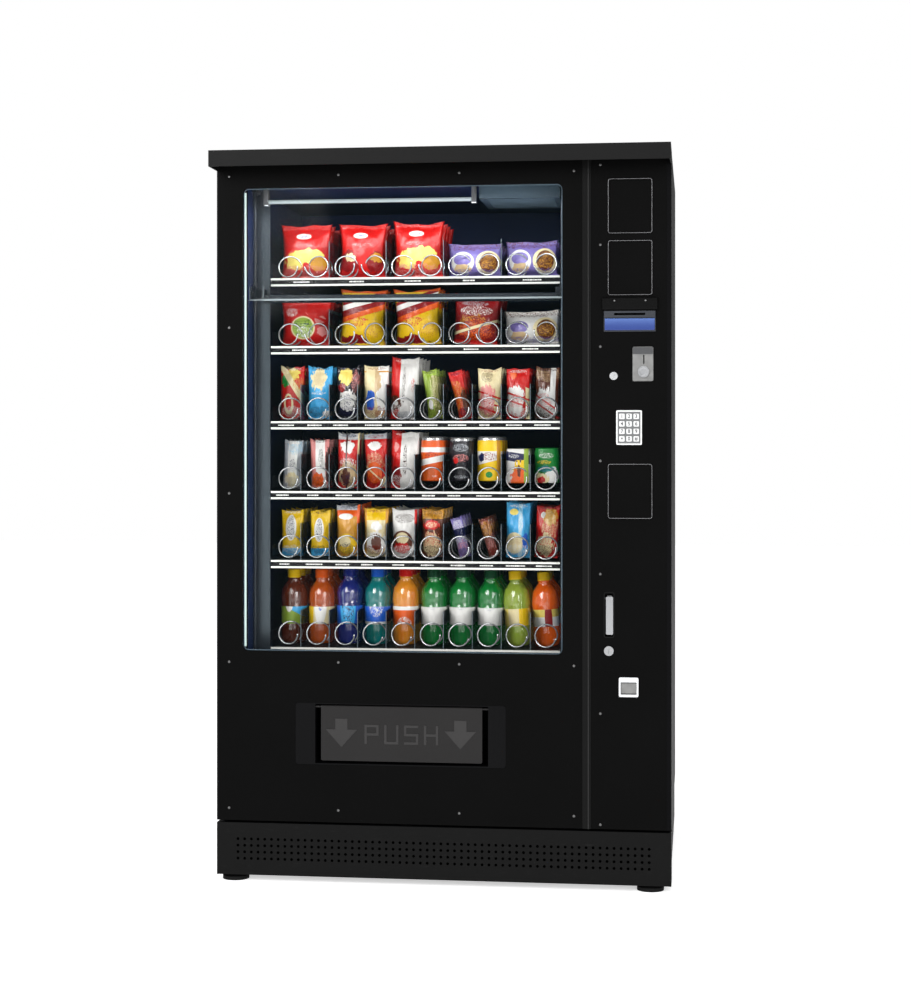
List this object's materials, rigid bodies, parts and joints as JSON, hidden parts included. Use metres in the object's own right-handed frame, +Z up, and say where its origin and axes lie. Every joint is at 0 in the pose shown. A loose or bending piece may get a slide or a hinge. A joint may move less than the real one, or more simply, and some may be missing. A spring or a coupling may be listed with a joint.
{
  "type": "snack vending machine",
  "caption": "Upright glass-front vending machine: hinged door, spiral trays, product lift, push-in delivery hatch and a payment column with keypad.",
  "frame": {"origin": "on the floor, in the middle of the bounding box's plan", "axes": "+Z up; the front with the glass door faces -Y; +X is to the right of a customer facing the machine"},
  "size_m": [1.14, 0.94, 1.83],
  "materials": {
    "cabinet_black": "matte",
    "panel_black": "matte",
    "frame_black": "matte",
    "canopy_black": "matte",
    "kick_grey": "satin",
    "trim_grey": "satin",
    "liner": "satin",
    "evaporator_blue": "satin",
    "zinc": "satin",
    "screw_steel": "satin",
    "satin_steel": "satin",
    "foot_rubber": "matte",
    "seal_rubber": "matte",
    "plastic_black": "satin",
    "plastic_grey": "satin",
    "flap_black": "satin",
    "cooling_metal": "satin",
    "lamp": "satin",
    "rail_grey": "satin",
    "glass": "gloss",
    "chrome": "polished",
    "silver": "satin",
    "lift_white": "satin",
    "tray_metal": "satin",
    "coil_steel": "satin"
  },
  "bodies": {
    "cabinet": {"cabinet_shell": "cabinet_black", "inner_liner": "liner", "base_frame": "cabinet_black", "levelling_feet": "foot_rubber", "kick_plate": "kick_grey", "cooling_unit": "cooling_metal", "evaporator_box": "evaporator_blue", "light_tube": "lamp", "lift_rails": "rail_grey", "delivery_bin": "plastic_black", "control_box": "plastic_grey", "door_hinges": "zinc"},
    "door": {"door_frame": "frame_black", "window_panel": "panel_black", "control_panel": "panel_black", "centre_post": "trim_grey", "door_canopy": "canopy_black", "window_glass": "glass", "door_seal": "seal_rubber", "panel_screws": "screw_steel", "blank_plates": "panel_black", "bill_bezel": "plastic_grey", "payment_units": "plastic_black", "coin_plate": "chrome", "keypad_plate": "silver", "handle_housing": "trim_grey", "coin_cup": "chrome", "hatch_housing": "plastic_black"},
    "condenser_fan": {"condenser_fan": "plastic_black"},
    "service_lock": {"service_lock": "chrome"},
    "lock_handle": {"lock_handle": "satin_steel"},
    "handle_lock": {"handle_lock": "satin_steel"},
    "coin_flap": {"coin_flap": "trim_grey"},
    "delivery_flap": {"delivery_flap": "flap_black"},
    "coin_return_button": {"coin_return_button": "chrome"},
    "lift_platform": {"lift_platform": "lift_white"},
    "key_1": {"key_1": "silver"},
    "key_2": {"key_2": "silver"},
    "key_3": {"key_3": "silver"},
    "key_4": {"key_4": "silver"},
    "key_5": {"key_5": "silver"},
    "key_6": {"key_6": "silver"},
    "key_7": {"key_7": "silver"},
    "key_8": {"key_8": "silver"},
    "key_9": {"key_9": "silver"},
    "key_star": {"key_star": "silver"},
    "key_0": {"key_0": "silver"},
    "key_hash": {"key_hash": "silver"},
    "tray_1": {"tray_1": "tray_metal"},
    "coil_1": {"coil_1": "coil_steel"},
    "tray_2": {"tray_2": "tray_metal"},
    "coil_2": {"coil_2": "coil_steel"},
    "tray_3": {"tray_3": "tray_metal"},
    "coil_3": {"coil_3": "coil_steel"},
    "tray_4": {"tray_4": "tray_metal"},
    "coil_4": {"coil_4": "coil_steel"},
    "tray_5": {"tray_5": "tray_metal"},
    "coil_5": {"coil_5": "coil_steel"},
    "tray_6": {"tray_6": "tray_metal"},
    "coil_6": {"coil_6": "coil_steel"}
  },
  "joints": [
    {"name": "door_swing", "type": "hinge", "parent": "cabinet", "child": "door", "pos_m": [-0.561, -0.308, 0.98], "axis": [0, 0, -1], "range_deg": [0, 110]},
    {"name": "flap_swing", "type": "hinge", "parent": "door", "child": "delivery_flap", "pos_m": [-0.1, -0.375, 0.443], "axis": [1, 0, 0], "range_deg": [0, 75]},
    {"name": "coin_flap_swing", "type": "hinge", "parent": "door", "child": "coin_flap", "pos_m": [0.4655, -0.3792, 0.513], "axis": [1, 0, 0], "range_deg": [0, 60]},
    {"name": "handle_tilt", "type": "hinge", "parent": "door", "child": "lock_handle", "pos_m": [0.4175, -0.368, 0.722], "axis": [-1, 0, 0], "range_deg": [0, 35]},
    {"name": "handle_lock_turn", "type": "hinge", "parent": "door", "child": "handle_lock", "pos_m": [0.417, -0.37, 0.593], "axis": [0, 1, 0], "range_deg": [0, 90]},
    {"name": "service_lock_turn", "type": "hinge", "parent": "door", "child": "service_lock", "pos_m": [0.4287, -0.37, 1.2695], "axis": [0, 1, 0], "range_deg": [0, 90]},
    {"name": "coin_return_press", "type": "slide", "parent": "door", "child": "coin_return_button", "axis": [0, 1, 0], "range_m": [0, 0.004], "stiffness_N_per_m": 300},
    {"name": "key_1_press", "type": "slide", "parent": "door", "child": "key_1", "axis": [0, 1, 0], "range_m": [0, 0.0016], "stiffness_N_per_m": 500},
    {"name": "key_2_press", "type": "slide", "parent": "door", "child": "key_2", "axis": [0, 1, 0], "range_m": [0, 0.0016], "stiffness_N_per_m": 500},
    {"name": "key_3_press", "type": "slide", "parent": "door", "child": "key_3", "axis": [0, 1, 0], "range_m": [0, 0.0016], "stiffness_N_per_m": 500},
    {"name": "key_4_press", "type": "slide", "parent": "door", "child": "key_4", "axis": [0, 1, 0], "range_m": [0, 0.0016], "stiffness_N_per_m": 500},
    {"name": "key_5_press", "type": "slide", "parent": "door", "child": "key_5", "axis": [0, 1, 0], "range_m": [0, 0.0016], "stiffness_N_per_m": 500},
    {"name": "key_6_press", "type": "slide", "parent": "door", "child": "key_6", "axis": [0, 1, 0], "range_m": [0, 0.0016], "stiffness_N_per_m": 500},
    {"name": "key_7_press", "type": "slide", "parent": "door", "child": "key_7", "axis": [0, 1, 0], "range_m": [0, 0.0016], "stiffness_N_per_m": 500},
    {"name": "key_8_press", "type": "slide", "parent": "door", "child": "key_8", "axis": [0, 1, 0], "range_m": [0, 0.0016], "stiffness_N_per_m": 500},
    {"name": "key_9_press", "type": "slide", "parent": "door", "child": "key_9", "axis": [0, 1, 0], "range_m": [0, 0.0016], "stiffness_N_per_m": 500},
    {"name": "key_star_press", "type": "slide", "parent": "door", "child": "key_star", "axis": [0, 1, 0], "range_m": [0, 0.0016], "stiffness_N_per_m": 500},
    {"name": "key_0_press", "type": "slide", "parent": "door", "child": "key_0", "axis": [0, 1, 0], "range_m": [0, 0.0016], "stiffness_N_per_m": 500},
    {"name": "key_hash_press", "type": "slide", "parent": "door", "child": "key_hash", "axis": [0, 1, 0], "range_m": [0, 0.0016], "stiffness_N_per_m": 500},
    {"name": "lift_travel", "type": "slide", "parent": "cabinet", "child": "lift_platform", "axis": [0, 0, -1], "range_m": [0, 0.99]},
    {"name": "fan_spin", "type": "hinge", "parent": "cabinet", "child": "condenser_fan", "pos_m": [0.04, 0.25, 0.285], "axis": [0, 1, 0], "continuous": true},
    {"name": "tray_1_pull", "type": "slide", "parent": "cabinet", "child": "tray_1", "axis": [0, -1, 0], "range_m": [0, 0.06]},
    {"name": "coil_1_turn", "type": "hinge", "parent": "tray_1", "child": "coil_1", "pos_m": [-0.4305, 0, 1.5665], "axis": [0, 1, 0], "continuous": true},
    {"name": "tray_2_pull", "type": "slide", "parent": "cabinet", "child": "tray_2", "axis": [0, -1, 0], "range_m": [0, 0.06]},
    {"name": "coil_2_turn", "type": "hinge", "parent": "tray_2", "child": "coil_2", "pos_m": [-0.4305, 0, 1.3895], "axis": [0, 1, 0], "continuous": true},
    {"name": "tray_3_pull", "type": "slide", "parent": "cabinet", "child": "tray_3", "axis": [0, -1, 0], "range_m": [0, 0.06]},
    {"name": "coil_3_turn", "type": "hinge", "parent": "tray_3", "child": "coil_3", "pos_m": [-0.4305, 0, 1.194], "axis": [0, 1, 0], "continuous": true},
    {"name": "tray_4_pull", "type": "slide", "parent": "cabinet", "child": "tray_4", "axis": [0, -1, 0], "range_m": [0, 0.06]},
    {"name": "coil_4_turn", "type": "hinge", "parent": "tray_4", "child": "coil_4", "pos_m": [-0.4305, 0, 1.012], "axis": [0, 1, 0], "continuous": true},
    {"name": "tray_5_pull", "type": "slide", "parent": "cabinet", "child": "tray_5", "axis": [0, -1, 0], "range_m": [0, 0.06]},
    {"name": "coil_5_turn", "type": "hinge", "parent": "tray_5", "child": "coil_5", "pos_m": [-0.4305, 0, 0.8325], "axis": [0, 1, 0], "continuous": true},
    {"name": "tray_6_pull", "type": "slide", "parent": "cabinet", "child": "tray_6", "axis": [0, -1, 0], "range_m": [0, 0.06]},
    {"name": "coil_6_turn", "type": "hinge", "parent": "tray_6", "child": "coil_6", "pos_m": [-0.4305, 0, 0.6055], "axis": [0, 1, 0], "continuous": true}
  ]
}
